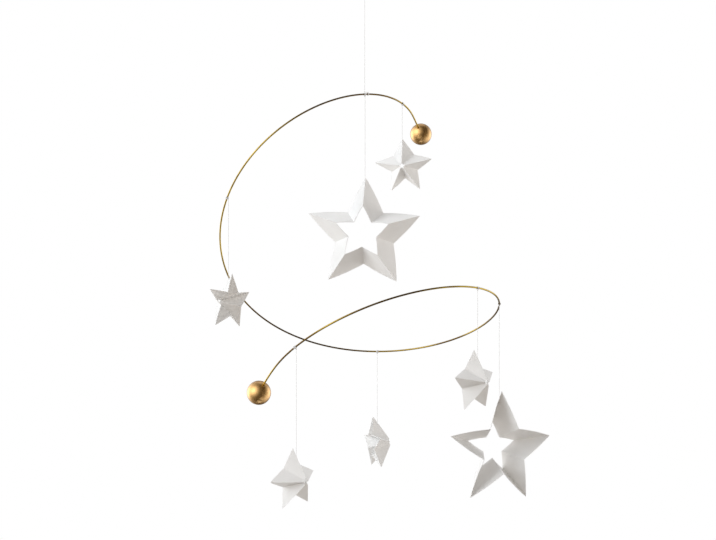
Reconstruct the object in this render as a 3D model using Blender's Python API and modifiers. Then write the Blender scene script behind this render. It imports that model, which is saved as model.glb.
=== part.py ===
"""Star mobile: seven folded card stars hang on threads from one open coil of brass wire.

Units are metres, +Z is up, +X runs to the right and +Y away from the front.
The origin is the top of the hanging loop's inside, where a hook carries the mobile.
"""

import math
from collections import namedtuple

import bmesh
import bpy
from mathutils import Euler, Matrix, Vector

MM = 0.001
UP = Vector((0.0, 0.0, 1.0))
DOWN = -UP

# Gap between pieces that touch
CLEARANCE = 0.3 * MM

# Thread and its knots
THREAD_DIAMETER = 0.4 * MM
KNOT_DIAMETER = 1.4 * MM
STOPPER_KNOT_DIAMETER = 1.4 * MM

# Thread wound round the wire where something hangs
TIE_WRAPS = 3
TIE_WRAP_GAP = 0.5 * MM

# Loop and thread that carry the whole mobile
LOOP_HEIGHT = 15.0 * MM
LOOP_WIDTH = 8.0 * MM
LOOP_KNOT_DIAMETER = 1.8 * MM
HANGING_THREAD_LENGTH = 102.0 * MM

# Brass wire, bent into an open coil round a leaning axis
WIRE_DIAMETER = 1.8 * MM
COIL_RADIUS = 130.7 * MM
COIL_TURNS = 1.443
COIL_MIDDLE_ANGLE = math.radians(88.1)
COIL_EASING_ANGLE = math.radians(36.8)
COIL_HALF_RISE = 219.6 * MM
COIL_BOW = 47.9 * MM
COIL_END_EASING = 85.2 * MM
COIL_LEAN_BACK = math.radians(34.4)
COIL_LEAN_LEFT = math.radians(18.6)

# Each end of the wire leaves the coil at a share of its length, outwards along it (1) or back
# along it (-1), in a plain arc that nods down and a little aside, then runs straight into its ball
WireEnd = namedtuple("WireEnd", "share outwards arc_length nod aside")
UPPER_END = WireEnd(0.0099, -1, 25.0 * MM, math.radians(11.9), math.radians(-13.5))
LOWER_END = WireEnd(0.9772, 1, 37.7 * MM, math.radians(13.3), math.radians(15.7))

# Balls pressed on the wire's ends
BALL_DIAMETER = 25.0 * MM
BALL_BORE_DEPTH = 10.0 * MM

# Folded card stars: sizes on the flat sheet, before it is folded
CARD_THICKNESS = 0.4 * MM
STAR_POINTS = 5
SECTOR_ANGLE = math.pi / STAR_POINTS
StarSize = namedtuple("StarSize", "tip_radius notch_radius window_share hole_from_tip")
SMALL = StarSize(37.0 * MM, 28.0 * MM, 0.12, 9.0 * MM)
LARGE = StarSize(74.0 * MM, 59.0 * MM, 0.47, 9.0 * MM)

# How a star has settled on its thread, in degrees: the angles from its middle line to the folds
# of its top, side and lower points, and how far its side points droop and its lower ones gather
Folds = namedtuple("Folds", "top side low droop gather")

# Each hanging star: where its thread is tied, as a share of the wire from its upper end, the
# thread's length, how the star faces and leans, in degrees, and its folds
Hanging = namedtuple("Hanging", "place size wire_share thread_length facing nod lean folds")
HANGING_STARS = (
    Hanging("top", SMALL, 0.0320, 44.5 * MM, -10.5, 2.1, -3.2, Folds(56.4, 62.3, 57.1, 7.1, 4.1)),
    Hanging("centre", LARGE, 0.0785, 95.3 * MM, -6.0, -4.8, 1.5, Folds(58.2, 60.9, 57.4, -1.8, -0.9)),
    Hanging("left", SMALL, 0.2370, 87.7 * MM, 228.9, -1.3, -3.8, Folds(54.2, 57.8, 58.2, -4.1, 1.2)),
    Hanging("low_left", SMALL, 0.9520, 106.2 * MM, 45.9, 3.0, -6.0, Folds(58.5, 53.0, 58.4, 13.5, 2.9)),
    Hanging("low_middle", SMALL, 0.5140, 80.0 * MM, 108.4, -5.5, 2.1, Folds(58.7, 52.6, 55.1, 1.5, 1.4)),
    Hanging("low_right", SMALL, 0.7820, 68.2 * MM, 48.1, 2.3, -2.2, Folds(58.8, 59.0, 61.9, 6.9, 3.5)),
    Hanging("right", LARGE, 0.7130, 96.9 * MM, 201.7, 3.1, -1.9, Folds(51.8, 53.4, 58.2, 7.2, 4.5)),
)
HANGING_SHARE = 0.0785

# Fineness of the round surfaces
WIRE_POINTS_PER_TURN = 96
TIE_POINTS_PER_WRAP = 10
END_ARC_STEPS = 4
LOOP_STEPS = 24
BALL_STEPS = 32
THREAD_STEPS = 8
KNOT_ARC_STEPS = 5
CUTTER_SIDES = 12

THREAD_RADIUS = THREAD_DIAMETER / 2
KNOT_RADIUS = KNOT_DIAMETER / 2
STOPPER_KNOT_RADIUS = STOPPER_KNOT_DIAMETER / 2
LOOP_KNOT_RADIUS = LOOP_KNOT_DIAMETER / 2
WIRE_RADIUS = WIRE_DIAMETER / 2
BALL_RADIUS = BALL_DIAMETER / 2

# Distances from the wire's middle line to the wound thread's own and to the knot beside it
TIE_RADIUS = WIRE_RADIUS + CLEARANCE + THREAD_RADIUS
TIE_REACH = TIE_RADIUS + THREAD_RADIUS + CLEARANCE + KNOT_RADIUS


# Scene, materials and modifiers

def clear_scene():
    """Remove every object that the file starts with."""
    for obj in list(bpy.data.objects):
        bpy.data.objects.remove(obj, do_unlink=True)


def new_collection(name):
    """Make a collection in the scene."""
    collection = bpy.data.collections.new(name)
    bpy.context.scene.collection.children.link(collection)
    return collection


def surface(name, colour, roughness, metallic=0.0):
    """A Principled material of one colour."""
    material = bpy.data.materials.new(name)
    material.use_nodes = True
    shader = material.node_tree.nodes["Principled BSDF"]
    shader.inputs["Base Color"].default_value = (*colour, 1.0)
    shader.inputs["Roughness"].default_value = roughness
    shader.inputs["Metallic"].default_value = metallic
    return material


def add_object(name, data, collection, material=None, place=Vector()):
    """Put a mesh or curve into the scene as a named object at its place."""
    obj = bpy.data.objects.new(name, data)
    obj.location = place
    if material:
        data.materials.append(material)
    collection.objects.link(obj)
    return obj


def mesh_from(name, bm):
    """Turn a finished bmesh into a mesh."""
    mesh = bpy.data.meshes.new(name)
    bm.to_mesh(mesh)
    bm.free()
    return mesh


def attach(child, parent):
    """Parent one object to another without moving it."""
    bpy.context.view_layer.update()
    child.parent = parent
    child.matrix_parent_inverse = parent.matrix_world.inverted()


def combine(obj, other, operation):
    """Join or cut an object with a hidden one."""
    other.hide_render = True
    other.display_type = "WIRE"
    boolean = obj.modifiers.new(operation.title(), "BOOLEAN")
    boolean.operation = operation
    boolean.solver = "EXACT"
    boolean.object = other


def solid_from_curve(obj):
    """Replace a tube curve with its welded mesh, so that it can be joined."""
    bpy.context.view_layer.update()
    evaluated = obj.evaluated_get(bpy.context.evaluated_depsgraph_get())
    mesh = bpy.data.meshes.new_from_object(evaluated)
    bm = bmesh.new()
    bm.from_mesh(mesh)
    bmesh.ops.remove_doubles(bm, verts=bm.verts, dist=0.01 * MM)
    bm.to_mesh(mesh)
    bm.free()
    solid = bpy.data.objects.new(obj.name, mesh)
    solid.matrix_world = obj.matrix_world
    obj.users_collection[0].objects.link(solid)
    name = obj.name
    bpy.data.objects.remove(obj, do_unlink=True)
    solid.name = name
    return solid


# Forms used more than once

def tube(name, points, diameter, fineness, collection, material, place):
    """A tube with closed ends along points given from its place."""
    curve = bpy.data.curves.new(name, "CURVE")
    curve.dimensions = "3D"
    curve.bevel_depth = diameter / 2
    curve.bevel_resolution = fineness
    curve.use_fill_caps = True
    spline = curve.splines.new("POLY")
    spline.points.add(len(points) - 1)
    for spline_point, point in zip(spline.points, points):
        spline_point.co = (*point, 1.0)
    return add_object(name, curve, collection, material, place)


def turned(name, profile, steps, collection, material, place):
    """Turn a profile of (radius, height) pairs round Z, listed down its outer side."""
    bm = bmesh.new()
    verts = [bm.verts.new((radius, 0.0, height)) for radius, height in profile]
    for upper, lower in zip(verts, verts[1:]):
        bm.edges.new((upper, lower))
    obj = add_object(name, mesh_from(name, bm), collection, material, place)
    screw = obj.modifiers.new("Turn", "SCREW")
    screw.axis = "Z"
    screw.steps = steps
    screw.render_steps = steps
    screw.use_merge_vertices = True
    screw.merge_threshold = 0.01 * MM
    screw.use_smooth_shade = True
    return obj


def arc(radius, height, start, end, steps):
    """Profile points of a round part, by angle from its top."""
    angles = [start + (end - start) * step / steps for step in range(steps + 1)]
    return [(radius * math.sin(angle), height + radius * math.cos(angle)) for angle in angles]


def upper_knot_profile():
    """A knot round the origin, down to where the thread leaves it."""
    neck = math.pi - math.asin(THREAD_RADIUS / KNOT_RADIUS)
    return arc(KNOT_RADIUS, 0.0, 0.0, neck, KNOT_ARC_STEPS)


def least_gap(points, diameter, points_per_turn):
    """Least free space between the turns of a wound tube."""
    half_turn = points_per_turn // 2
    distances = [
        (first - second).length
        for index, first in enumerate(points)
        for second in points[index + half_turn:]
    ]
    return min(distances) - diameter


# The coil's own geometry

def coil_shape(share):
    """Middle line of the wire, from the coil's centre, at a share of its length."""
    along = 2.0 * share - 1.0
    easing = along ** 3 - along
    angle = COIL_MIDDLE_ANGLE - COIL_TURNS * math.pi * along - COIL_EASING_ANGLE * easing
    rise = COIL_END_EASING * along ** 3 + COIL_BOW * along ** 2 - COIL_HALF_RISE * along
    point = Vector((COIL_RADIUS * math.cos(angle), COIL_RADIUS * math.sin(angle), rise))
    lean = Matrix.Rotation(-COIL_LEAN_BACK, 3, "X") @ Matrix.Rotation(-COIL_LEAN_LEFT, 3, "Y")
    return lean @ point


def wire_direction(share):
    """Direction in which the wire runs at a share of its length."""
    step = 0.0001
    return (coil_shape(share + step) - coil_shape(share - step)).normalized()


def beside_wire(share, towards):
    """Step from the wire's middle line to a knot on one side of it."""
    direction = wire_direction(share)
    side = towards - towards.dot(direction) * direction
    return side.normalized() * TIE_REACH


# Heights from the origin down to the coil
LOOP_TOP = Vector((0.0, 0.0, THREAD_RADIUS))
LOOP_BOTTOM = LOOP_TOP + DOWN * LOOP_HEIGHT
SWING_PIVOT = LOOP_BOTTOM + DOWN * (LOOP_KNOT_RADIUS + CLEARANCE + KNOT_RADIUS)
HANGING_KNOT = SWING_PIVOT + DOWN * (HANGING_THREAD_LENGTH + CLEARANCE + KNOT_RADIUS)
COIL_CENTRE = HANGING_KNOT - beside_wire(HANGING_SHARE, UP) - coil_shape(HANGING_SHARE)


def wire_point(share):
    """Middle line of the wire in the part's own frame."""
    return COIL_CENTRE + coil_shape(share)


def wire_end(end):
    """Points of a wire's end, from the coil outwards, and the direction of its last one."""
    start = wire_direction(end.share) * end.outwards
    downwards = (DOWN - DOWN.dot(start) * start).normalized()
    sideways = start.cross(downwards)
    inwards = math.cos(end.aside) * downwards + math.sin(end.aside) * sideways
    radius = end.arc_length / end.nod
    points = []
    for step in range(1, END_ARC_STEPS + 1):
        turn = end.nod * step / END_ARC_STEPS
        along = math.sin(turn) * start + (1.0 - math.cos(turn)) * inwards
        points.append(wire_point(end.share) + radius * along)
    return points, math.cos(end.nod) * start + math.sin(end.nod) * inwards


def star_knot(hanging):
    """Knot under the wire from which a star's thread hangs."""
    return wire_point(hanging.wire_share) + beside_wire(hanging.wire_share, DOWN)


# A folded star's own geometry, with its middle point forwards and one tip up

def tip_fold(folds, number):
    """Direction from the star's middle point along the fold to a tip, counted clockwise from the top."""
    spread = (folds.top, folds.side, folds.low, folds.low, folds.side)[number]
    sag = (0.0, folds.droop, folds.gather, -folds.gather, -folds.droop)[number]
    turn = 2.0 * SECTOR_ANGLE * number + math.radians(sag)
    out = math.sin(math.radians(spread))
    return Vector((out * math.sin(turn), math.cos(math.radians(spread)), out * math.cos(turn)))


def notch_fold(folds, number):
    """Direction along the fold to the notch after a tip: one flat sector away from both tips' folds."""
    first = tip_fold(folds, number)
    second = tip_fold(folds, (number + 1) % STAR_POINTS)
    between = (first + second).normalized()
    inwards = first.cross(second).normalized()
    bend = math.acos(math.cos(SECTOR_ANGLE) / between.dot(first))
    side = math.copysign(math.sin(bend), inwards.y)
    return math.cos(bend) * between + side * inwards


def fold_direction(folds, number):
    """Direction of a fold from the star's middle point: even ones reach tips, odd ones notches."""
    tip, is_notch = divmod(number % (2 * STAR_POINTS), 2)
    return notch_fold(folds, tip) if is_notch else tip_fold(folds, tip)


def star_apex(hanging):
    """The star's middle point, from the thread's hole in its upper fold."""
    size = hanging.size
    return -(size.tip_radius - size.hole_from_tip) * fold_direction(hanging.folds, 0)


def star_turn(hanging):
    """How a star faces and leans."""
    nod, lean, facing = (math.radians(value) for value in (hanging.nod, hanging.lean, hanging.facing))
    faced = Euler((0.0, 0.0, facing)).to_matrix()
    return faced @ Matrix.Rotation(nod, 3, "X") @ Matrix.Rotation(lean, 3, "Y")


def stopper_depth(hanging):
    """How far below its hole the stopper knot comes to rest between the two upper facets."""
    down = star_turn(hanging).transposed() @ DOWN
    upper = fold_direction(hanging.folds, 0)
    facets = [fold_direction(hanging.folds, number).cross(upper).normalized() for number in (1, -1)]
    slope = min(abs(down.dot(normal)) for normal in facets)
    return (STOPPER_KNOT_RADIUS + CLEARANCE + CARD_THICKNESS / 2) / slope


# Sub-parts

def make_hanging_loop(parts, thread):
    """Thread tied in a teardrop loop, with its knot."""
    leg_start = 0.35
    widest = 0.77
    points = []
    for step in range(LOOP_STEPS + 1):
        turn = leg_start + (2.0 * math.pi - 2.0 * leg_start) * step / LOOP_STEPS
        across = LOOP_WIDTH / 2 / widest * math.sin(turn) * math.sin(turn / 2)
        height = LOOP_HEIGHT * (1.0 - math.cos(turn)) / 2
        points.append(Vector((across, 0.0, height)))
    loop = tube("hanging_loop", points, THREAD_DIAMETER, 1, parts, thread, LOOP_BOTTOM)
    return solid_from_curve(loop)


def make_loop_knot(loop, guides):
    """Knot that closes the hanging loop, joined to it."""
    bm = bmesh.new()
    bmesh.ops.create_uvsphere(bm, u_segments=12, v_segments=8, radius=LOOP_KNOT_RADIUS)
    knot = add_object("loop_knot", mesh_from("loop_knot", bm), guides, None, LOOP_BOTTOM)
    combine(loop, knot, "UNION")


def make_hanging_thread(parts, thread):
    """Thread from the loop's knot to just above the coil."""
    end = -HANGING_THREAD_LENGTH
    profile = upper_knot_profile() + [(THREAD_RADIUS, end), (0.0, end)]
    return turned("hanging_thread", profile, THREAD_STEPS, parts, thread, SWING_PIVOT)


def make_hanging_knot(parts, thread):
    """Knot on which the coil turns and rocks."""
    profile = arc(KNOT_RADIUS, 0.0, 0.0, math.pi, 2 * KNOT_ARC_STEPS)
    return turned("hanging_knot", profile, THREAD_STEPS, parts, thread, HANGING_KNOT)


def make_wire_coil(parts, brass):
    """One length of wire: the coil, and each end in an arc and straight into its ball."""
    count = round(COIL_TURNS * WIRE_POINTS_PER_TURN)
    length = LOWER_END.share - UPPER_END.share
    coil = [wire_point(UPPER_END.share + length * step / count) for step in range(count + 1)]
    into_ball = BALL_BORE_DEPTH - CLEARANCE
    upper_arc, upper_way = wire_end(UPPER_END)
    lower_arc, lower_way = wire_end(LOWER_END)
    upper_tip = upper_arc[-1] + into_ball * upper_way
    lower_tip = lower_arc[-1] + into_ball * lower_way
    route = [upper_tip, *reversed(upper_arc), *coil, *lower_arc, lower_tip]
    points = [point - HANGING_KNOT for point in route]
    gap = least_gap(points, WIRE_DIAMETER, WIRE_POINTS_PER_TURN)
    print(f"wire_coil: least gap to itself {gap / MM:.2f} mm")
    return tube("wire_coil", points, WIRE_DIAMETER, 2, parts, brass, HANGING_KNOT)


def make_ball(name, end, parts, gold):
    """A ball with a blind bore that takes the wire's end."""
    wire, way = wire_end(end)
    bore_radius = WIRE_RADIUS + CLEARANCE
    mouth = math.asin(bore_radius / BALL_RADIUS)
    floor = BALL_RADIUS - BALL_BORE_DEPTH
    profile = [(0.0, floor), (bore_radius, floor)]
    profile += arc(BALL_RADIUS, 0.0, mouth, math.pi, BALL_STEPS // 2)
    ball = turned(name, profile, BALL_STEPS, parts, gold, wire[-1] + BALL_RADIUS * way)
    ball.rotation_mode = "QUATERNION"
    ball.rotation_quaternion = (-way).to_track_quat("Z", "Y")
    return ball


def make_tie(name, share, parts, thread):
    """Thread wound round the wire, as one unbroken tube."""
    pitch = THREAD_DIAMETER + TIE_WRAP_GAP
    direction = wire_direction(share)
    across = direction.orthogonal().normalized()
    other = direction.cross(across)
    points = []
    for step in range(TIE_WRAPS * TIE_POINTS_PER_WRAP + 1):
        wraps = step / TIE_POINTS_PER_WRAP
        turn = 2.0 * math.pi * wraps
        round_wire = TIE_RADIUS * (math.cos(turn) * across + math.sin(turn) * other)
        points.append(round_wire + (wraps - TIE_WRAPS / 2) * pitch * direction)
    gap = least_gap(points, THREAD_DIAMETER, TIE_POINTS_PER_WRAP)
    print(f"{name}: least gap to itself {gap / MM:.2f} mm")
    return tube(name, points, THREAD_DIAMETER, 1, parts, thread, wire_point(share))


def make_star_thread(hanging, parts, thread):
    """Thread from its knot under the wire, through the star's hole, to its stopper knot."""
    stopper = -hanging.thread_length - stopper_depth(hanging)
    neck = math.asin(THREAD_RADIUS / STOPPER_KNOT_RADIUS)
    profile = upper_knot_profile()
    profile += arc(STOPPER_KNOT_RADIUS, stopper, neck, math.pi, KNOT_ARC_STEPS)
    name = f"thread_{hanging.place}"
    return turned(name, profile, THREAD_STEPS, parts, thread, star_knot(hanging))


def star_sheet(hanging):
    """The folded sheet without thickness: ten facets round an open window."""
    size = hanging.size
    bm = bmesh.new()
    rim = bmesh.ops.create_circle(bm, segments=2 * STAR_POINTS, radius=size.tip_radius)["verts"]
    apex = star_apex(hanging)
    for number, vert in enumerate(rim):
        reach = size.tip_radius if number % 2 == 0 else size.notch_radius
        vert.co = apex + reach * fold_direction(hanging.folds, number)
    inner = bmesh.ops.extrude_edge_only(bm, edges=bm.edges[:])["geom"]
    for vert in (item for item in inner if isinstance(item, bmesh.types.BMVert)):
        vert.co = apex.lerp(vert.co, size.window_share)
    bmesh.ops.recalc_face_normals(bm, faces=bm.faces)
    return mesh_from("folded_star", bm)


def make_star(hanging, parts, guides, card):
    """A star folded from card, with the hole that its thread comes through."""
    place = star_knot(hanging) + DOWN * hanging.thread_length
    name = f"star_{hanging.place}"
    star = add_object(name, star_sheet(hanging), parts, card, place)
    star.rotation_euler = star_turn(hanging).to_euler()
    solidify = star.modifiers.new("Card", "SOLIDIFY")
    solidify.thickness = CARD_THICKNESS
    solidify.offset = 0.0
    solidify.use_even_offset = True
    bm = bmesh.new()
    radius = THREAD_RADIUS + CLEARANCE
    depth = 2.0 * stopper_depth(hanging)
    bmesh.ops.create_cone(
        bm, cap_ends=True, segments=CUTTER_SIDES, radius1=radius, radius2=radius, depth=depth
    )
    cutter = add_object(f"hole_{hanging.place}", mesh_from("hole", bm), guides, None, place)
    combine(star, cutter, "DIFFERENCE")
    return star


def main():
    """Build the mobile from its hook down."""
    clear_scene()
    parts = new_collection("Star mobile")
    guides = new_collection("Cutters")
    thread = surface("White thread", (0.80, 0.79, 0.76), 0.80)
    brass = surface("Brass wire", (0.72, 0.52, 0.24), 0.32, metallic=1.0)
    gold = surface("Satin gold ball", (0.74, 0.55, 0.27), 0.42, metallic=1.0)
    card = surface("White card", (0.84, 0.84, 0.83), 0.75)

    loop = make_hanging_loop(parts, thread)
    make_loop_knot(loop, guides)
    hanging_thread = make_hanging_thread(parts, thread)
    hanging_knot = make_hanging_knot(parts, thread)
    coil = make_wire_coil(parts, brass)
    attach(hanging_thread, loop)
    attach(hanging_knot, hanging_thread)
    attach(coil, hanging_knot)

    attach(make_ball("upper_ball", UPPER_END, parts, gold), coil)
    attach(make_ball("lower_ball", LOWER_END, parts, gold), coil)
    for hanging in HANGING_STARS:
        tie = make_tie(f"tie_{hanging.place}", hanging.wire_share, parts, thread)
        star_thread = make_star_thread(hanging, parts, thread)
        star = make_star(hanging, parts, guides, card)
        attach(tie, coil)
        attach(star_thread, coil)
        attach(star, star_thread)


main()
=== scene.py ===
"""Looks of the star mobile: gold balls, brass wire, twisted threads and folded white card stars.

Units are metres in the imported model's frame: +Z is up, +Y runs away from the camera, and the
origin is the top of the hanging loop. The wire's route, the folds and the threads' lengths are
the part's own numbers.
"""

import math
from collections import namedtuple

import bmesh
import bpy
from mathutils import Euler, Matrix, Vector


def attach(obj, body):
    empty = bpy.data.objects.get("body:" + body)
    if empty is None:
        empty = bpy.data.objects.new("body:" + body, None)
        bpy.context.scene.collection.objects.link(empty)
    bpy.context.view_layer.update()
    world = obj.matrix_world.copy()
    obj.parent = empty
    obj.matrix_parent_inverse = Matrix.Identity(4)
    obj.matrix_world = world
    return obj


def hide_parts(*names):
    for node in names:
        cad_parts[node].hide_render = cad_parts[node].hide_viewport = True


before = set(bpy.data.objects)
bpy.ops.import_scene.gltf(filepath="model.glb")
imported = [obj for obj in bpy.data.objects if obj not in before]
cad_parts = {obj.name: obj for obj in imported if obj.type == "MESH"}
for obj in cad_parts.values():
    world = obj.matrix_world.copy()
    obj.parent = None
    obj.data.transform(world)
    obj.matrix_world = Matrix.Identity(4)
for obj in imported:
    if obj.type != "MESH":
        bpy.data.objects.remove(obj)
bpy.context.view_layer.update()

MM = 0.001
UP = Vector((0.0, 0.0, 1.0))
DOWN = -UP

# Gap that the part leaves between pieces that touch
CLEARANCE = 0.3 * MM

# Points of a mesh nearer than this are merged
BAR_MERGE_DISTANCE = 0.002 * MM
BALL_MERGE_DISTANCE = 0.001 * MM

# Thread: its plies, how deep the valleys between them are, as a share of its radius, and how many
# points a straight cord's path has
THREAD_RADIUS = 0.2 * MM
PLIES = 3
PLY_PITCH = 1.5 * MM
PLY_VALLEY = 0.38
RINGS_PER_PITCH = 8
POINTS_PER_PLY = 4
CORD_POINTS = 24

# Knots: while the thread runs round, it swings in and out by a share of the knot's radius, and up
# and down by half as much again
KNOT_RADIUS = 0.7 * MM
LOOP_KNOT_RADIUS = 0.9 * MM
KNOT_RING = 0.62
KNOT_SWING = 0.38
KNOT_HEIGHT = 1.5
KNOT_STEPS = 72

# Loop and thread that carry the whole mobile. The loop is a teardrop, sin(turn) * sin(turn / 2)
# across, which reaches 0.77 to each side and whose legs leave the knot a little way round
LOOP_HEIGHT = 15.0 * MM
LOOP_WIDTH = 8.0 * MM
LOOP_LEG_START = 0.35
TEARDROP_REACH = 0.77
LOOP_STEPS = 60
HANGING_THREAD_LENGTH = 102.0 * MM

# Short ends that stick out of the loop's knot, from the knot: the right one's middle and tip
LOOP_END_MIDDLE = Vector((1.5 * MM, -0.6 * MM, -0.1 * MM))
LOOP_END_TIP = Vector((2.6 * MM, -0.8 * MM, -1.3 * MM))

# Wire, bent into an open coil round a leaning axis
WIRE_RADIUS = 0.9 * MM
WIRE_SIDES = 16
WIRE_STEP = 3.0 * MM
WIRE_RINGS = 8
WIRE_ROUTE_STEPS = 360
COIL_RADIUS = 130.7 * MM
COIL_TURNS = 1.443
COIL_MIDDLE_ANGLE = math.radians(88.1)
COIL_EASING_ANGLE = math.radians(36.8)
COIL_HALF_RISE = 219.6 * MM
COIL_BOW = 47.9 * MM
COIL_END_EASING = 85.2 * MM
COIL_LEAN_BACK = math.radians(34.4)
COIL_LEAN_LEFT = math.radians(18.6)

# Each end of the wire leaves the coil in a plain arc, then runs straight into its ball: where it
# leaves, as a share of the coil, which way along the coil is outwards, the arc's length, the angle
# that it bends by, and the bend's angle from straight down
WireEnd = namedtuple("WireEnd", "share outwards arc_length nod aside")
UPPER_END = WireEnd(0.0099, -1, 25.0 * MM, math.radians(11.9), math.radians(-13.5))
LOWER_END = WireEnd(0.9772, 1, 37.7 * MM, math.radians(13.3), math.radians(15.7))
END_ARC_STEPS = 12

# Balls pressed on the wire's ends
BALL_RADIUS = 12.5 * MM
BALL_BORE_DEPTH = 10.0 * MM
BALL_LIP = 0.25 * MM
BALL_LIP_STEPS = 4
BALL_ARC_STEPS = 48
BALL_SEGMENTS = 96

# Thread wound round the wire: a close inner layer, and an outer one that comes back over it and
# settles in its grooves. It climbs from one to the other over an angle, in radians
TIE_LENGTH = 2.7 * MM
INNER_WRAPS = 6
OUTER_WRAPS = 2
STEPS_PER_WRAP = 16
CLIMB_ANGLE = 1.2
LAYER_STEP = 1.7 * THREAD_RADIUS
INNER_TIE_RADIUS = WIRE_RADIUS + THREAD_RADIUS
OUTER_TIE_RADIUS = INNER_TIE_RADIUS + LAYER_STEP
TIE_REACH = WIRE_RADIUS + 2.0 * CLEARANCE + 2.0 * THREAD_RADIUS + KNOT_RADIUS

# The hanging thread's own tie: its distance from the centre star's, as a share of the wire, its
# size, and how far out its lead ends, as a share of the knot's distance from the wire
HANGING_TIE_ASIDE = 0.0032
HANGING_TIE_LENGTH = 1.6 * MM
HANGING_TIE_INNER_WRAPS = 4
HANGING_TIE_OUTER_WRAPS = 1
LEAD_END = 0.6

# Folded card stars: sizes on the flat sheet, before it is folded. From the middle to the tips and
# to the notches, the open middle as a share of that, the thread hole from its tip, and a facet's bow
CARD_THICKNESS = 0.4 * MM
STAR_POINTS = 5
SECTOR_ANGLE = math.pi / STAR_POINTS
StarSize = namedtuple("StarSize", "tip_radius notch_radius window_share hole_from_tip bow")
SMALL = StarSize(37.0 * MM, 28.0 * MM, 0.12, 9.0 * MM, 0.25 * MM)
LARGE = StarSize(74.0 * MM, 59.0 * MM, 0.47, 9.0 * MM, 0.9 * MM)

# Thread hole: its radius, how far up and down the sheet's faces are cut for it, and how many of its
# radii up and down what lies inside is taken out
HOLE_RADIUS = THREAD_RADIUS + 1.2 * CLEARANCE
HOLE_SIDES = 12
HOLE_CUT_REACH = 20.0 * MM
HOLE_RADII_OUT = 5.0

# How a star has settled on its thread, in degrees: the angles from its middle line to the folds
# of its top, side and lower points, and how far its side points droop and its lower ones gather
Folds = namedtuple("Folds", "top side low droop gather")

# Where the mobile hangs, as a share of the wire from its upper end
HANGING_SHARE = 0.0785

# Each hanging star: its name and size, where its thread is tied, as a share of the wire from its
# upper end, the thread's length down to its hole, how it faces and leans, in degrees, and its folds
Hanging = namedtuple("Hanging", "place size wire_share thread_length facing nod lean folds")
HANGING_STARS = (
    Hanging("top", SMALL, 0.0320, 44.5 * MM, -10.5, 2.1, -3.2, Folds(56.4, 62.3, 57.1, 7.1, 4.1)),
    Hanging(
        "centre", LARGE, HANGING_SHARE, 95.3 * MM, -6.0, -4.8, 1.5, Folds(58.2, 60.9, 57.4, -1.8, -0.9),
    ),
    Hanging("left", SMALL, 0.2370, 87.7 * MM, 228.9, -1.3, -3.8, Folds(54.2, 57.8, 58.2, -4.1, 1.2)),
    Hanging("low_left", SMALL, 0.9520, 106.2 * MM, 45.9, 3.0, -6.0, Folds(58.5, 53.0, 58.4, 13.5, 2.9)),
    Hanging("low_middle", SMALL, 0.5140, 80.0 * MM, 108.4, -5.5, 2.1, Folds(58.7, 52.6, 55.1, 1.5, 1.4)),
    Hanging("low_right", SMALL, 0.7820, 68.2 * MM, 48.1, 2.3, -2.2, Folds(58.8, 59.0, 61.9, 6.9, 3.5)),
    Hanging("right", LARGE, 0.7130, 96.9 * MM, 201.7, 3.1, -1.9, Folds(51.8, 53.4, 58.2, 7.2, 4.5)),
)

# Angle at which two faces meet so sharply that their edge stays hard
THREAD_HARD_EDGE = math.radians(70.0)
WIRE_HARD_EDGE = math.radians(60.0)
BALL_HARD_EDGE = math.radians(50.0)
CARD_HARD_EDGE = math.radians(50.0)

# Colours, as shares of the red, green and blue light that a surface gives back
CARD_WHITE = (0.845, 0.845, 0.84)
CARD_MOTTLED = (0.815, 0.814, 0.805)
CARD_FLECK = (0.74, 0.735, 0.72)
CARD_SCORED = (0.89, 0.89, 0.885)
BRASS_DRAWN = (0.62, 0.43, 0.06)
BRASS_BRIGHT = (0.76, 0.55, 0.10)
BRASS_BROWNED = (0.31, 0.195, 0.035)
# Colour of the wire's darker stretches, whose cause is not known
BRASS_DARKENED = (0.165, 0.09, 0.015)
GOLD_DEEP = (0.87, 0.475, 0.125)
GOLD_PALE = (0.93, 0.54, 0.16)
GOLD_FLAKE = (0.97, 0.66, 0.28)
COTTON_SHADED = (0.64, 0.635, 0.625)
COTTON_LIGHT = (0.78, 0.775, 0.765)
COTTON_SLUB = (0.58, 0.575, 0.565)
FLOOR_PALE = (0.86, 0.86, 0.85)
FLOOR_CLOUDED = (0.82, 0.82, 0.81)
ROOM_WHITE = (1.0, 1.0, 1.0)


# Finishes

def new_finish(name):
    """A node material, its tree and its shader."""
    material = bpy.data.materials.new(name)
    material.use_nodes = True
    tree = material.node_tree
    return material, tree, tree.nodes["Principled BSDF"]


def node(tree, kind, sockets=None, **settings):
    """Add a node, with its settings and with values or links for its sockets."""
    made = tree.nodes.new(kind)
    for key, value in settings.items():
        setattr(made, key, value)
    for key, value in (sockets or {}).items():
        if isinstance(value, bpy.types.NodeSocket):
            tree.links.new(value, made.inputs[key])
        else:
            made.inputs[key].default_value = value
    return made


def on_object(tree):
    """Object coordinates."""
    return node(tree, "ShaderNodeTexCoord").outputs["Object"]


def on_straight(tree, scale=(1.0, 1.0, 1.0)):
    """Place on the straight cord or wire before it was bent: across it in X and Y, along it in Z."""
    straight = node(tree, "ShaderNodeAttribute", attribute_name="straight").outputs["Vector"]
    return node(tree, "ShaderNodeMapping", {"Vector": straight, "Scale": scale}).outputs["Vector"]


def grain(tree, vector, scale, detail, roughness=0.5, distortion=0.0):
    """Noise from 0 to 1, with a number of cells to the metre."""
    sockets = {
        "Vector": vector, "Scale": scale, "Detail": detail,
        "Roughness": roughness, "Distortion": distortion,
    }
    return node(tree, "ShaderNodeTexNoise", sockets).outputs["Fac"]


def levels(tree, value, low, high, out_low=0.0, out_high=1.0):
    """Stretch a value's range."""
    sockets = {
        "Value": value, "From Min": low, "From Max": high, "To Min": out_low, "To Max": out_high,
    }
    return node(tree, "ShaderNodeMapRange", sockets).outputs["Result"]


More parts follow.
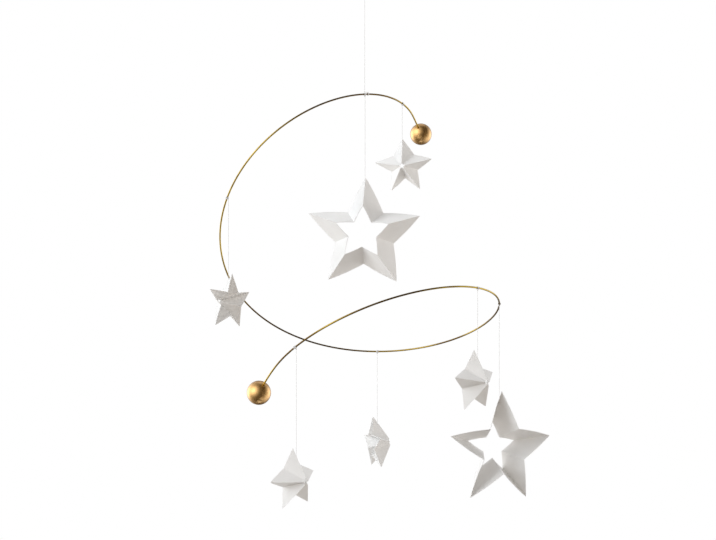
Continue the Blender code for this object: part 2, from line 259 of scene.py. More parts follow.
def blend_colours(tree, share, first, second):
    """Mix two colours by a share."""
    mix = node(tree, "ShaderNodeMix", data_type="RGBA")
    tree.links.new(share, mix.inputs["Factor"])
    for socket, colour in (("A", first), ("B", second)):
        target = next(s for s in mix.inputs if s.name == socket and s.type == "RGBA")
        if isinstance(colour, bpy.types.NodeSocket):
            tree.links.new(colour, target)
        else:
            target.default_value = (*colour, 1.0)
    return next(s for s in mix.outputs if s.type == "RGBA")


def relief(tree, height, depth, strength, under=None):
    """Bump of a real depth, laid over another one."""
    sockets = {"Height": height, "Distance": depth, "Strength": strength}
    if under:
        sockets["Normal"] = under
    return node(tree, "ShaderNodeBump", sockets).outputs["Normal"]


def white_card_finish():
    """Matt white card: felt mottling, pressed fibres, and a scored line on each fold."""
    material, tree, shader = new_finish("White card")
    mottling = levels(tree, grain(tree, on_object(tree), scale=55.0, detail=4.0), 0.35, 0.65)
    fibres = grain(tree, on_object(tree), scale=1500.0, detail=5.0, roughness=0.6, distortion=0.8)
    felt = grain(tree, on_object(tree), scale=420.0, detail=2.0)
    fold = node(tree, "ShaderNodeAttribute", attribute_name="fold").outputs["Fac"]
    sheet = blend_colours(tree, mottling, CARD_WHITE, CARD_MOTTLED)
    flecked = blend_colours(tree, levels(tree, fibres, 0.62, 0.72, out_high=0.25), sheet, CARD_FLECK)
    scored = blend_colours(tree, levels(tree, fold, 0.8, 1.0, out_high=0.35), flecked, CARD_SCORED)
    pressed = relief(tree, felt, depth=0.02 * MM, strength=0.3)
    surface = relief(tree, fibres, depth=0.006 * MM, strength=0.4, under=pressed)
    tree.links.new(scored, shader.inputs["Base Color"])
    tree.links.new(levels(tree, fibres, 0.3, 0.7, 0.74, 0.9), shader.inputs["Roughness"])
    tree.links.new(surface, shader.inputs["Normal"])
    shader.inputs["Specular IOR Level"].default_value = 0.25
    return material


# Stretches of the wire coloured darker, whose cause is not known: how dark, and up to where they are that
# dark and where they have faded, as shares of their reach. Then the middle of each, measured along the
# wire from its upper end, and how far it reaches either way
DARK_STRETCH_DARKNESS = 0.92
DARK_STRETCH_FULL = 0.55
DARK_STRETCH_FADED = 1.3
DarkStretch = namedtuple("DarkStretch", "middle reach")
DARK_STRETCHES = (
    DarkStretch(155.0 * MM, 85.0 * MM),
    DarkStretch(560.0 * MM, 115.0 * MM),
    DarkStretch(752.0 * MM, 26.0 * MM),
    DarkStretch(852.0 * MM, 56.0 * MM),
    DarkStretch(1072.0 * MM, 52.0 * MM),
    DarkStretch(1185.0 * MM, 42.0 * MM),
)


def brass_wire_finish():
    """Drawn brass: fine lines along the wire, clouds of brown and stretches coloured darker."""
    material, tree, shader = new_finish("Brass wire")
    lines = grain(tree, on_straight(tree, (1.0, 1.0, 0.01)), scale=5200.0, detail=4.0, roughness=0.65)
    clouds = grain(tree, on_object(tree), scale=45.0, detail=5.0, roughness=0.62)
    drawn = blend_colours(tree, lines, BRASS_DRAWN, BRASS_BRIGHT)
    browned = blend_colours(tree, levels(tree, clouds, 0.42, 0.62, out_high=0.55), drawn, BRASS_BROWNED)
    along = node(tree, "ShaderNodeSeparateXYZ", {"Vector": on_straight(tree)}).outputs["Z"]
    # Darker along each listed stretch of the wire, whose cause is not known, and faintly in the clouds
    dark = levels(tree, clouds, 0.3, 0.7, out_high=0.1)
    for dark_stretch in DARK_STRETCHES:
        away = node(tree, "ShaderNodeMath", {0: along, 1: dark_stretch.middle}, operation="SUBTRACT").outputs[0]
        away = node(tree, "ShaderNodeMath", {0: away}, operation="ABSOLUTE").outputs[0]
        full, faded = DARK_STRETCH_FULL * dark_stretch.reach, DARK_STRETCH_FADED * dark_stretch.reach
        stretch = levels(tree, away, full, faded, DARK_STRETCH_DARKNESS, 0.0)
        dark = node(tree, "ShaderNodeMath", {0: dark, 1: stretch}, operation="MAXIMUM").outputs[0]
    colour = blend_colours(tree, dark, browned, BRASS_DARKENED)
    tree.links.new(colour, shader.inputs["Base Color"])
    tree.links.new(levels(tree, lines, 0.25, 0.75, 0.24, 0.42), shader.inputs["Roughness"])
    tree.links.new(relief(tree, lines, depth=0.02 * MM, strength=0.5), shader.inputs["Normal"])
    shader.inputs["Metallic"].default_value = 1.0
    return material


def gold_ball_finish():
    """Satin gold lacquer on a turned ball: metal flakes, soft brush marks and a slight orange peel."""
    material, tree, shader = new_finish("Satin gold")
    flakes = grain(tree, on_object(tree), scale=2600.0, detail=2.0, roughness=0.7)
    brushed = grain(tree, on_object(tree), scale=120.0, detail=4.0, roughness=0.6)
    clouds = levels(tree, brushed, 0.3, 0.7)
    peel = grain(tree, on_object(tree), scale=650.0, detail=2.0)
    body = blend_colours(tree, clouds, GOLD_DEEP, GOLD_PALE)
    colour = blend_colours(tree, levels(tree, flakes, 0.55, 0.75), body, GOLD_FLAKE)
    peeled = relief(tree, peel, depth=0.03 * MM, strength=0.25)
    surface = relief(tree, flakes, depth=0.01 * MM, strength=0.3, under=peeled)
    tree.links.new(colour, shader.inputs["Base Color"])
    tree.links.new(levels(tree, clouds, 0.0, 1.0, 0.31, 0.37), shader.inputs["Roughness"])
    tree.links.new(surface, shader.inputs["Normal"])
    shader.inputs["Metallic"].default_value = 1.0
    shader.inputs["Coat Weight"].default_value = 1.0
    shader.inputs["Coat Roughness"].default_value = 0.22
    shader.inputs["Coat IOR"].default_value = 1.9
    return material


def white_thread_finish():
    """Spun cotton thread: fibres laid along each ply, with a faint sheen."""
    material, tree, shader = new_finish("White thread")
    fibres = grain(tree, on_straight(tree, (1.0, 1.0, 0.12)), scale=14000.0, detail=4.0, roughness=0.7)
    slubs = grain(tree, on_straight(tree), scale=900.0, detail=2.0)
    spun = blend_colours(tree, levels(tree, fibres, 0.3, 0.7), COTTON_SHADED, COTTON_LIGHT)
    colour = blend_colours(tree, levels(tree, slubs, 0.5, 0.8, out_high=0.4), spun, COTTON_SLUB)
    tree.links.new(colour, shader.inputs["Base Color"])
    tree.links.new(relief(tree, fibres, depth=0.02 * MM, strength=0.7), shader.inputs["Normal"])
    shader.inputs["Roughness"].default_value = 0.85
    shader.inputs["Sheen Weight"].default_value = 0.25
    return material


# Building pieces

def piece(name, bm, finish, body, slot, *nodes):
    """Make a piece of a finished bmesh, which rides on a body and stands for its CAD nodes."""
    mesh = bpy.data.meshes.new(name)
    bm.to_mesh(mesh)
    bm.free()
    mesh.materials.append(finish)
    obj = bpy.data.objects.new(name, mesh)
    bpy.context.scene.collection.objects.link(obj)
    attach(obj, body)
    if nodes:
        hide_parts(*nodes)
    return obj


def shade(bm, sharpest):
    """Smooth every face, with hard edges where faces meet at more than an angle."""
    for face in bm.faces:
        face.smooth = True
    for edge in bm.edges:
        edge.smooth = not edge.is_manifold or edge.calc_face_angle() < sharpest


class Route:
    """A line through points, with a frame that doesn't twist carried along it."""

    def __init__(self, points):
        self.points = points
        self.lengths = [0.0]
        for first, second in zip(points, points[1:]):
            self.lengths.append(self.lengths[-1] + (second - first).length)
        ways = [(points[1] - points[0]).normalized()]
        for before, after in zip(points, points[2:]):
            ways.append((after - before).normalized())
        ways.append((points[-1] - points[-2]).normalized())
        turn = ways[0].to_track_quat("Z", "Y")
        self.turns = [turn]
        for way in ways[1:]:
            turn = (turn @ UP).rotation_difference(way) @ turn
            self.turns.append(turn)

    @property
    def length(self):
        """The route's whole length."""
        return self.lengths[-1]

    def bend(self, bm):
        """Bend everything that stands along Z on to the route, keeping its straight place."""
        straight = bm.verts.layers.float_vector.new("straight")
        step = 0
        for vert in sorted(bm.verts, key=lambda v: v.co.z):
            vert[straight] = vert.co
            while step < len(self.points) - 2 and vert.co.z > self.lengths[step + 1]:
                step += 1
            span = self.lengths[step + 1] - self.lengths[step]
            share = (vert.co.z - self.lengths[step]) / span
            middle = self.points[step].lerp(self.points[step + 1], share)
            turn = self.turns[step].slerp(self.turns[step + 1], min(max(share, 0.0), 1.0))
            vert.co = middle + turn @ Vector((vert.co.x, vert.co.y, 0.0))


def straight_bar(length, radius, sides, pitch, rings, turns=0.0, dent=0.0, dents=1):
    """A closed bar along Z, made of equal pitches that each twist by some turns, dented between plies."""
    pitches = max(1, round(length / pitch))
    pitch = length / pitches
    bm = bmesh.new()
    ring = bmesh.ops.create_circle(bm, segments=sides, radius=radius)["verts"]
    for number, vert in enumerate(ring):
        phase = math.cos(2.0 * math.pi * dents * number / sides)
        vert.co *= 1.0 - dent * (1.0 - phase) / 2.0
    bmesh.ops.spin(
        bm, geom=bm.edges[:] + bm.verts[:], cent=(0.0, 0.0, 0.0), axis=(0.0, 0.0, 1.0),
        dvec=(0.0, 0.0, pitch / rings), angle=2.0 * math.pi * turns, steps=rings,
    )
    made = 1
    while made < pitches:
        more = min(made, pitches - made)
        faces = [face for face in bm.faces if face.calc_center_median().z < more * pitch]
        copied = bmesh.ops.duplicate(bm, geom=faces)["geom"]
        verts = [item for item in copied if isinstance(item, bmesh.types.BMVert)]
        bmesh.ops.translate(bm, verts=verts, vec=(0.0, 0.0, made * pitch))
        made += more
    bmesh.ops.remove_doubles(bm, verts=bm.verts, dist=BAR_MERGE_DISTANCE)
    bmesh.ops.holes_fill(bm, edges=[edge for edge in bm.edges if edge.is_boundary], sides=0)
    bmesh.ops.recalc_face_normals(bm, faces=bm.faces)
    return bm


def thread_along(points):
    """Three-ply thread that follows points."""
    route = Route(points)
    bm = straight_bar(
        route.length, THREAD_RADIUS, PLIES * POINTS_PER_PLY, PLY_PITCH, RINGS_PER_PITCH,
        turns=1.0, dent=PLY_VALLEY, dents=PLIES,
    )
    route.bend(bm)
    shade(bm, THREAD_HARD_EDGE)
    return bm


def joined(*parts):
    """Put several bmeshes into the first one."""
    whole = parts[0]
    for part in parts[1:]:
        mesh = bpy.data.meshes.new("joined")
        part.to_mesh(mesh)
        part.free()
        whole.from_mesh(mesh)
        bpy.data.meshes.remove(mesh)
    return whole


def even_points(start, end, count):
    """Points spread evenly along a straight line."""
    return [start.lerp(end, step / (count - 1)) for step in range(count)]


def knot_at(centre, radius, loops=3):
    """A tight overhand knot: thread that runs twice round while it passes through itself."""
    ring = (radius - THREAD_RADIUS) * KNOT_RING
    swing = (radius - THREAD_RADIUS) * KNOT_SWING
    points = []
    for step in range(KNOT_STEPS + 1):
        angle = 4.0 * math.pi * step / KNOT_STEPS
        inner = angle * loops / 2.0
        out = ring + swing * math.cos(inner)
        up = KNOT_HEIGHT * swing * math.sin(inner)
        points.append(centre + Vector((-out * math.cos(angle), -out * math.sin(angle), up)))
    return thread_along(points)


# The coil's own geometry

# Step along the wire, as a share of it, over which its direction is measured
SHARE_STEP = 0.0001


def coil_shape(share):
    """Middle line of the wire, from the coil's centre, at a share of its length."""
    along = 2.0 * share - 1.0
    easing = along ** 3 - along
    angle = COIL_MIDDLE_ANGLE - COIL_TURNS * math.pi * along - COIL_EASING_ANGLE * easing
    rise = COIL_END_EASING * along ** 3 + COIL_BOW * along ** 2 - COIL_HALF_RISE * along
    point = Vector((COIL_RADIUS * math.cos(angle), COIL_RADIUS * math.sin(angle), rise))
    lean = Matrix.Rotation(-COIL_LEAN_BACK, 3, "X") @ Matrix.Rotation(-COIL_LEAN_LEFT, 3, "Y")
    return lean @ point


def wire_direction(share):
    """Direction in which the wire runs at a share of its length."""
    return (coil_shape(share + SHARE_STEP) - coil_shape(share - SHARE_STEP)).normalized()


def beside_wire(share, towards):
    """Step from the wire's middle line to a knot on one side of it."""
    direction = wire_direction(share)
    side = towards - towards.dot(direction) * direction
    return side.normalized() * TIE_REACH


# Places from the top of the loop down to the coil's centre
LOOP_TOP = Vector((0.0, 0.0, THREAD_RADIUS))
LOOP_BOTTOM = LOOP_TOP + DOWN * LOOP_HEIGHT
SWING_PIVOT = LOOP_BOTTOM + DOWN * (LOOP_KNOT_RADIUS + CLEARANCE + KNOT_RADIUS)
HANGING_KNOT = SWING_PIVOT + DOWN * (HANGING_THREAD_LENGTH + CLEARANCE + KNOT_RADIUS)
COIL_CENTRE = HANGING_KNOT - beside_wire(HANGING_SHARE, UP) - coil_shape(HANGING_SHARE)


def wire_point(share):
    """Middle line of the wire in the part's own frame."""
    return COIL_CENTRE + coil_shape(share)


def wire_end(end):
    """Points of a wire's end, from the coil outwards, and the direction of its last one."""
    start = wire_direction(end.share) * end.outwards
    downwards = (DOWN - DOWN.dot(start) * start).normalized()
    sideways = start.cross(downwards)
    inwards = math.cos(end.aside) * downwards + math.sin(end.aside) * sideways
    radius = end.arc_length / end.nod
    points = []
    for step in range(1, END_ARC_STEPS + 1):
        turn = end.nod * step / END_ARC_STEPS
        along = math.sin(turn) * start + (1.0 - math.cos(turn)) * inwards
        points.append(wire_point(end.share) + radius * along)
    return points, math.cos(end.nod) * start + math.sin(end.nod) * inwards


def star_knot(hanging):
    """Knot under the wire from which a star's thread hangs."""
    return wire_point(hanging.wire_share) + beside_wire(hanging.wire_share, DOWN)


# A folded star's own geometry, with its middle point forwards and one tip up

def tip_fold(folds, number):
    """Direction from the star's middle point along the fold to a tip, counted clockwise from the top."""
    spread = (folds.top, folds.side, folds.low, folds.low, folds.side)[number]
    sag = (0.0, folds.droop, folds.gather, -folds.gather, -folds.droop)[number]
    turn = 2.0 * SECTOR_ANGLE * number + math.radians(sag)
    out = math.sin(math.radians(spread))
    return Vector((out * math.sin(turn), math.cos(math.radians(spread)), out * math.cos(turn)))


def notch_fold(folds, number):
    """Direction along the fold to the notch after a tip: one flat sector away from both tips' folds."""
    first = tip_fold(folds, number)
    second = tip_fold(folds, (number + 1) % STAR_POINTS)
    between = (first + second).normalized()
    inwards = first.cross(second).normalized()
    bend = math.acos(math.cos(SECTOR_ANGLE) / between.dot(first))
    side = math.copysign(math.sin(bend), inwards.y)
    return math.cos(bend) * between + side * inwards


def fold_direction(folds, number):
    """Direction of a fold from the star's middle point: even ones reach tips, odd ones notches."""
    tip, is_notch = divmod(number % (2 * STAR_POINTS), 2)
    return notch_fold(folds, tip) if is_notch else tip_fold(folds, tip)


def star_apex(hanging):
    """The star's middle point, from the thread's hole in its upper fold."""
    size = hanging.size
    return -(size.tip_radius - size.hole_from_tip) * fold_direction(hanging.folds, 0)


def star_turn(hanging):
    """How a star faces and leans."""
    nod, lean, facing = (math.radians(value) for value in (hanging.nod, hanging.lean, hanging.facing))
    facing_turn = Euler((0.0, 0.0, facing)).to_matrix()
    return facing_turn @ Matrix.Rotation(nod, 3, "X") @ Matrix.Rotation(lean, 3, "Y")


def stopper_depth(hanging):
    """How far below its hole the stopper knot comes to rest between the two upper facets."""
    down = star_turn(hanging).transposed() @ DOWN
    upper = fold_direction(hanging.folds, 0)
    facets = [fold_direction(hanging.folds, number).cross(upper).normalized() for number in (1, -1)]
    slope = min(abs(down.dot(normal)) for normal in facets)
    return (KNOT_RADIUS + CLEARANCE + CARD_THICKNESS / 2) / slope


# Pieces of the mobile

def make_hanging_loop(thread):
    """Teardrop loop of thread, its knot, and the two short ends that stick out of it."""
    points = []
    for step in range(LOOP_STEPS + 1):
        turn = LOOP_LEG_START + (2.0 * math.pi - 2.0 * LOOP_LEG_START) * step / LOOP_STEPS
        across = LOOP_WIDTH / 2 / TEARDROP_REACH * math.sin(turn) * math.sin(turn / 2)
        height = LOOP_HEIGHT * (1.0 - math.cos(turn)) / 2
        points.append(LOOP_BOTTOM + Vector((across, 0.0, height)))
    points = [LOOP_BOTTOM, *points, LOOP_BOTTOM]
    ends = []
    for side in (-1.0, 1.0):
        mirrored = Matrix.Diagonal((side, 1.0, 1.0))
        middle = LOOP_BOTTOM + mirrored @ LOOP_END_MIDDLE
        tip = LOOP_BOTTOM + mirrored @ LOOP_END_TIP
        ends.append(thread_along([LOOP_BOTTOM, middle, tip]))
    whole = joined(thread_along(points), knot_at(LOOP_BOTTOM, LOOP_KNOT_RADIUS, loops=5), *ends)
    piece("loop_of_thread", whole, thread, "loop", "thread", "hanging_loop")


def make_hanging_thread(thread):
    """Thread from its knot under the loop to the knot on the coil."""
    end = SWING_PIVOT + DOWN * HANGING_THREAD_LENGTH
    path = even_points(SWING_PIVOT, end, CORD_POINTS)
    cord = piece("hanging_cord", thread_along(path), thread, "hanging_thread", "thread", "hanging_thread")
    knot = knot_at(SWING_PIVOT, KNOT_RADIUS)
    upper = piece("hanging_cord_knot", knot, thread, "hanging_thread", "thread")


def make_hanging_knot(thread):
    """Knot on top of the wire, on which the coil turns."""
    knot = knot_at(HANGING_KNOT, KNOT_RADIUS)
    top = HANGING_KNOT + UP * (KNOT_RADIUS + CLEARANCE)
    stub = thread_along(even_points(top, HANGING_KNOT, count=3))
    piece("knot_on_coil", joined(knot, stub), thread, "hanging_knot", "thread", "hanging_knot")


def wire_route():
    """The wire's middle line from the bottom of one ball's bore to the bottom of the other's."""
    length = LOWER_END.share - UPPER_END.share
    coil = []
    for step in range(WIRE_ROUTE_STEPS + 1):
        coil.append(wire_point(UPPER_END.share + length * step / WIRE_ROUTE_STEPS))
    into_ball = BALL_BORE_DEPTH - CLEARANCE
    upper_arc, upper_way = wire_end(UPPER_END)
    lower_arc, lower_way = wire_end(LOWER_END)
    upper_tip = upper_arc[-1] + into_ball * upper_way
    lower_tip = lower_arc[-1] + into_ball * lower_way
    return Route([upper_tip, *reversed(upper_arc), *coil, *lower_arc, lower_tip])


def make_wire(brass):
    """One drawn wire, bent along the coil."""
    route = wire_route()
    bm = straight_bar(route.length, WIRE_RADIUS, WIRE_SIDES, WIRE_RINGS * WIRE_STEP, WIRE_RINGS)
    route.bend(bm)
    shade(bm, WIRE_HARD_EDGE)
    piece("bent_wire", bm, brass, "coil", "wire", "wire_coil")


def make_ball(name, end, gold, node_name):
    """A turned ball with a bore for the wire and a rounded lip round it."""
    wire, way = wire_end(end)
    bore = WIRE_RADIUS + CLEARANCE
    mouth = math.asin((bore + BALL_LIP) / BALL_RADIUS)
    lip_height = math.sqrt(BALL_RADIUS ** 2 - (bore + BALL_LIP) ** 2)
    profile = [(0.0, BALL_RADIUS - BALL_BORE_DEPTH), (bore, BALL_RADIUS - BALL_BORE_DEPTH)]
    for step in range(BALL_LIP_STEPS):
        turn = math.pi / 2 * step / BALL_LIP_STEPS
        radius = bore + BALL_LIP * (1.0 - math.cos(turn))
        profile.append((radius, lip_height - BALL_LIP * (1.0 - math.sin(turn))))
    for step in range(BALL_ARC_STEPS + 1):
        turn = mouth + (math.pi - mouth) * step / BALL_ARC_STEPS
        profile.append((BALL_RADIUS * math.sin(turn), BALL_RADIUS * math.cos(turn)))
    bm = bmesh.new()
    verts = [bm.verts.new((radius, 0.0, height)) for radius, height in profile]
    for first, second in zip(verts, verts[1:]):
        bm.edges.new((first, second))
    bmesh.ops.spin(
        bm, geom=bm.edges[:] + bm.verts[:], cent=(0.0, 0.0, 0.0), axis=(0.0, 0.0, 1.0),
        angle=2.0 * math.pi, steps=BALL_SEGMENTS, use_merge=True,
    )
    bmesh.ops.remove_doubles(bm, verts=bm.verts, dist=BALL_MERGE_DISTANCE)
    bmesh.ops.recalc_face_normals(bm, faces=bm.faces)
    shade(bm, BALL_HARD_EDGE)
    facing_wire = (-way).to_track_quat("Z", "Y").to_matrix().to_4x4()
    place = Matrix.Translation(wire[-1] + BALL_RADIUS * way) @ facing_wire
    bmesh.ops.transform(bm, matrix=place, verts=bm.verts)
    piece(name, bm, gold, "coil", "ball", node_name)


def winding(share, towards, length=TIE_LENGTH, inner_wraps=INNER_WRAPS, outer_wraps=OUTER_WRAPS):
    """Thread from a knot beside the wire, round it in two layers, and back into the knot."""
    direction = wire_direction(share)
    side = beside_wire(share, towards).normalized()
    other = direction.cross(side)
    first_touch = math.acos(INNER_TIE_RADIUS / TIE_REACH)
    last_touch = 2.0 * math.pi * (inner_wraps + outer_wraps) - math.acos(OUTER_TIE_RADIUS / TIE_REACH)
    change = 2.0 * math.pi * inner_wraps
    steps = STEPS_PER_WRAP * (inner_wraps + outer_wraps)
    points = []
    for step in range(steps + 1):
        turn = 2.0 * math.pi * (inner_wraps + outer_wraps) * step / steps
        inner = INNER_TIE_RADIUS / math.cos(max(first_touch - turn, 0.0))
        outer = OUTER_TIE_RADIUS / math.cos(max(turn - last_touch, 0.0))
        climbed = min(max((turn - change) / CLIMB_ANGLE + 0.5, 0.0), 1.0)
        radius = inner + (outer - inner) * climbed
        if turn < first_touch:
            along = -0.5 * turn / first_touch
        elif turn < change:
            along = -0.5 + (turn - first_touch) / (change - first_touch)
        else:
            along = 0.5 * (1.0 - (turn - change) / (2.0 * math.pi * outer_wraps))
        round_wire = radius * (math.cos(turn) * side + math.sin(turn) * other)
        points.append(wire_point(share) + round_wire + along * length * direction)
    return thread_along(points)


def make_tie(hanging, thread):
    """Thread wound on the wire over a hanging star."""
    name = f"tie_{hanging.place}"
    piece(f"wound_{name}", winding(hanging.wire_share, DOWN), thread, "coil", "thread", name)


def make_hanging_tie(thread):
    """Thread wound on the wire where the mobile hangs, beside the centre star's own tie."""
    share = HANGING_SHARE - HANGING_TIE_ASIDE
    wraps = (HANGING_TIE_INNER_WRAPS, HANGING_TIE_OUTER_WRAPS)
    lead = even_points(HANGING_KNOT, wire_point(share) + beside_wire(share, UP) * LEAD_END, count=4)
    whole = joined(winding(share, UP, HANGING_TIE_LENGTH, *wraps), thread_along(lead))
    piece("wound_hanging_tie", whole, thread, "coil", "thread")


def make_star_thread(hanging, thread):
    """Thread from its knot under the wire, through the star's hole, to its stopper knot."""
    top = star_knot(hanging)
    length = hanging.thread_length + stopper_depth(hanging)
    path = even_points(top, top + DOWN * length, CORD_POINTS)
    body = f"thread_{hanging.place}"
    cord = piece(f"cord_{hanging.place}", thread_along(path), thread, body, "thread", body)
    upper = knot_at(top, KNOT_RADIUS)
    stopper = knot_at(path[-1], KNOT_RADIUS)
    knots = piece(f"knots_{hanging.place}", joined(upper, stopper), thread, body, "thread")


# Where each facet's rim has points, as shares from one fold to the next, and how many rows of faces
# the facet has from its rim inwards
RIM_SHARES = (0.0, 0.12, 0.25, 0.38, 0.5, 0.62, 0.75, 0.88)
FACET_ROWS = 8


def facet_rim(hanging, number):
    """Points along one facet's outer cut, from one fold up to the next, with the sheet's slight bow."""
    size = hanging.size
    apex = star_apex(hanging)
    ends = []
    for fold in (number, number + 1):
        reach = size.tip_radius if fold % 2 == 0 else size.notch_radius
        ends.append(apex + reach * fold_direction(hanging.folds, fold))
    normal = (ends[0] - apex).cross(ends[1] - apex).normalized()
    if normal.y > 0.0:
        normal.negate()
    points = []
    for share in RIM_SHARES:
        bow = size.bow * math.sin(math.pi * share)
        points.append(ends[0].lerp(ends[1], share) + bow * normal)
    return points


def make_star(hanging, card):
    """A star folded from one sheet of card, with slightly bowed facets and a thread hole."""
    size = hanging.size
    apex = star_apex(hanging)
    rim_points = []
    for number in range(2 * STAR_POINTS):
        rim_points.extend(facet_rim(hanging, number))
    per_facet = len(RIM_SHARES)
    bm = bmesh.new()
    fold_layer = bm.verts.layers.float.new("fold")
    rim = bmesh.ops.create_circle(bm, segments=len(rim_points), radius=size.tip_radius)["verts"]
    for number, vert in enumerate(rim):
        vert.co = rim_points[number]
        vert[fold_layer] = float(number % per_facet == 0)
    inner = bmesh.ops.extrude_edge_only(bm, edges=bm.edges[:])["geom"]
    for vert in (item for item in inner if isinstance(item, bmesh.types.BMVert)):
        vert.co = apex.lerp(vert.co, size.window_share)
    spokes = [edge for edge in bm.edges if not edge.is_boundary]
    bmesh.ops.subdivide_edges(bm, edges=spokes, cuts=FACET_ROWS - 1, use_grid_fill=True)
    bmesh.ops.recalc_face_normals(bm, faces=bm.faces)
    place = Matrix.Translation(star_knot(hanging) + DOWN * hanging.thread_length)
    bmesh.ops.transform(bm, matrix=place @ star_turn(hanging).to_4x4(), verts=bm.verts)
    punch_hole(bm, place.translation)
    name = f"star_{hanging.place}"
    star = piece(f"folded_{name}", bm, card, name, "card", name)
    solidify = star.modifiers.new("Card", "SOLIDIFY")
    solidify.thickness = CARD_THICKNESS
    solidify.offset = 0.0
    solidify.use_even_offset = True
    keep_modified_mesh(star)


def lies_over(face, centre):
    """Whether a face may be cut by the upright thread hole round a point."""
    reach = Vector((HOLE_RADIUS, HOLE_RADIUS, 0.0))
    low = Vector(map(min, *(vert.co for vert in face.verts))) - reach
    high = Vector(map(max, *(vert.co for vert in face.verts))) + reach
    near = abs(centre.z - face.calc_center_median().z) < HOLE_CUT_REACH
    return near and all(low[axis] < centre[axis] < high[axis] for axis in (0, 1))


def punch_hole(bm, centre):
    """Cut an upright round hole for the thread through the sheet's faces round a point."""
    over = [face for face in bm.faces if lies_over(face, centre)]
    geom = list(dict.fromkeys(item for face in over for item in (face, *face.edges, *face.verts)))
    for side in range(HOLE_SIDES):
        turn = 2.0 * math.pi * side / HOLE_SIDES
        out = Vector((math.cos(turn), math.sin(turn), 0.0))
        cut = centre + HOLE_RADIUS * out
        geom = bmesh.ops.bisect_plane(bm, geom=geom, plane_co=cut, plane_no=out, dist=0.0)["geom"]
    cut_out = []
    for face in (item for item in geom if isinstance(item, bmesh.types.BMFace)):
        offset = face.calc_center_median() - centre
        if offset.xy.length < HOLE_RADIUS and abs(offset.z) < HOLE_RADII_OUT * HOLE_RADIUS:
            cut_out.append(face)
    bmesh.ops.delete(bm, geom=cut_out, context="FACES")


def keep_modified_mesh(obj):
    """Give an object the mesh that its modifiers make, with hard cut edges."""
    bpy.context.view_layer.update()
    evaluated = obj.evaluated_get(bpy.context.evaluated_depsgraph_get())
    mesh = bpy.data.meshes.new_from_object(evaluated)
    obj.modifiers.clear()
    obj.data = mesh
    bm = bmesh.new()
    bm.from_mesh(mesh)
    shade(bm, CARD_HARD_EDGE)
    bm.to_mesh(mesh)
    bm.free()


# Camera, light and floor

# The photograph's width and its lens, both in pixels, and where the camera stands
PICTURE_WIDTH = 716.0
LENS_IN_PIXELS = 1490.0
SENSOR_WIDTH = 36.0
CAMERA_PLACE = (-0.0073, -1.62321, -0.3138)

# Floor far below the mobile
FLOOR_HEIGHT = -2.6
FLOOR_HALF_SIDE = 0.5


def make_camera():
    """Camera straight in front of the mobile, as the photograph was taken."""
    data = bpy.data.cameras.new("Camera")
    data.sensor_width = SENSOR_WIDTH
    data.lens = LENS_IN_PIXELS / PICTURE_WIDTH * SENSOR_WIDTH
    camera = bpy.data.objects.new("Camera", data)
    camera.location = CAMERA_PLACE
    camera.rotation_euler = (math.pi / 2, 0.0, 0.0)
    bpy.context.scene.collection.objects.link(camera)
    bpy.context.scene.camera = camera


# Soft lights of the white room: degrees to the right of the front and degrees up, how tight each
# one is, its brightness in its middle, and how warm it is
SoftLight = namedtuple("SoftLight", "around up tightness brightness warmth")
ROOM_LIGHTS = (
    SoftLight(-68.0, 20.0, 13.0, 6.2, -0.03),
    SoftLight(163.0, 37.0, 12.0, 2.9, 0.0),
    SoftLight(103.0, -19.0, 12.0, 3.6, 0.03),
    SoftLight(-130.0, -39.0, 12.0, 4.0, 0.04),
    SoftLight(11.0, -4.0, 12.0, 2.05, 0.1),
    SoftLight(180.0, 77.0, 8.0, 1.2, 0.0),
    SoftLight(59.0, 28.0, 12.0, 0.95, -0.05),
)

# What shiny pieces mirror: white screens on both sides, with a dark gap round the camera
MIRRORED_SCREENS = (
    SoftLight(-52.0, 23.0, 6.0, 2.1, 0.0),
    SoftLight(-120.0, 8.0, 6.0, 1.6, 0.0),
    SoftLight(122.0, -1.0, 8.0, 1.6, 0.0),
    SoftLight(170.0, 60.0, 17.0, 0.6, 0.0),
    SoftLight(-122.0, -10.0, 13.0, 1.0, 0.0),
    SoftLight(92.0, -40.0, 8.0, 0.7, 0.0),
)

# Light from where no soft light stands
ROOM_DIMNESS = (0.018, 0.009, 0.003)


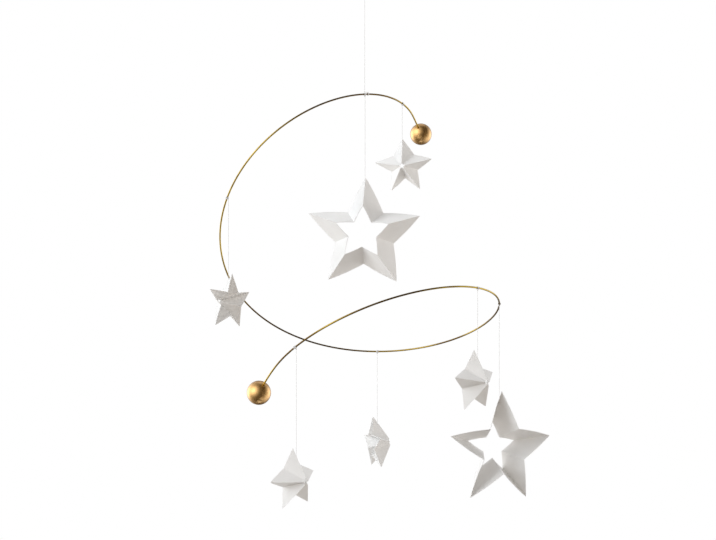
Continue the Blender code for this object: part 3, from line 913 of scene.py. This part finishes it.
def soft_lights(tree, direction, lights):
    """Light from a direction: each soft light fades with the angle from its middle."""
    total = ROOM_DIMNESS
    for light in lights:
        around, up = math.radians(light.around), math.radians(light.up)
        middle = (math.sin(around) * math.cos(up), -math.cos(around) * math.cos(up), math.sin(up))
        near = node(tree, "ShaderNodeVectorMath", {0: direction, 1: middle}, operation="DOT_PRODUCT")
        spread = levels(tree, near.outputs["Value"], -1.0, 1.0, -2.0 * light.tightness, 0.0)
        fall = node(tree, "ShaderNodeMath", {0: spread}, operation="EXPONENT").outputs[0]
        colour = [light.brightness * (1.0 + tint * light.warmth) for tint in (1.0, 0.0, -1.0)]
        added = {0: fall, 1: colour, 2: total}
        total = node(tree, "ShaderNodeVectorMath", added, operation="MULTIPLY_ADD").outputs[0]
    return total


def make_white_room():
    """White room behind the mobile, lit by soft lights, with white screens for what shines."""
    world = bpy.data.worlds.new("White room")
    bpy.context.scene.world = world
    world.use_nodes = True
    tree = world.node_tree
    direction = node(tree, "ShaderNodeTexCoord").outputs["Generated"]
    ray = node(tree, "ShaderNodeLightPath").outputs
    lit = soft_lights(tree, direction, ROOM_LIGHTS)
    mirrored = soft_lights(tree, direction, MIRRORED_SCREENS)
    unseen = blend_colours(tree, ray["Is Glossy Ray"], lit, mirrored)
    seen = blend_colours(tree, ray["Is Camera Ray"], unseen, ROOM_WHITE)
    tree.links.new(seen, tree.nodes["Background"].inputs["Color"])
    bpy.context.scene.view_settings.view_transform = "Standard"


def make_floor():
    """Plain pale floor under the mobile."""
    bm = bmesh.new()
    place = Matrix.Translation((0.0, 0.0, FLOOR_HEIGHT))
    bmesh.ops.create_grid(bm, x_segments=1, y_segments=1, size=FLOOR_HALF_SIDE, matrix=place)
    mesh = bpy.data.meshes.new("Floor")
    bm.to_mesh(mesh)
    bm.free()
    material, tree, shader = new_finish("Pale floor")
    clouds = grain(tree, on_object(tree), scale=6.0, detail=4.0)
    tree.links.new(blend_colours(tree, clouds, FLOOR_PALE, FLOOR_CLOUDED), shader.inputs["Base Color"])
    shader.inputs["Roughness"].default_value = 0.8
    mesh.materials.append(material)
    floor = bpy.data.objects.new("Floor", mesh)
    bpy.context.scene.collection.objects.link(floor)


make_camera()
make_white_room()
make_floor()

thread = white_thread_finish()
brass = brass_wire_finish()
gold = gold_ball_finish()
card = white_card_finish()

make_hanging_loop(thread)
make_hanging_thread(thread)
make_hanging_knot(thread)
make_wire(brass)
make_ball("upper_gold_ball", UPPER_END, gold, "upper_ball")
make_ball("lower_gold_ball", LOWER_END, gold, "lower_ball")
make_hanging_tie(thread)
for hanging in HANGING_STARS:
    make_tie(hanging, thread)
    make_star_thread(hanging, thread)
    make_star(hanging, card)
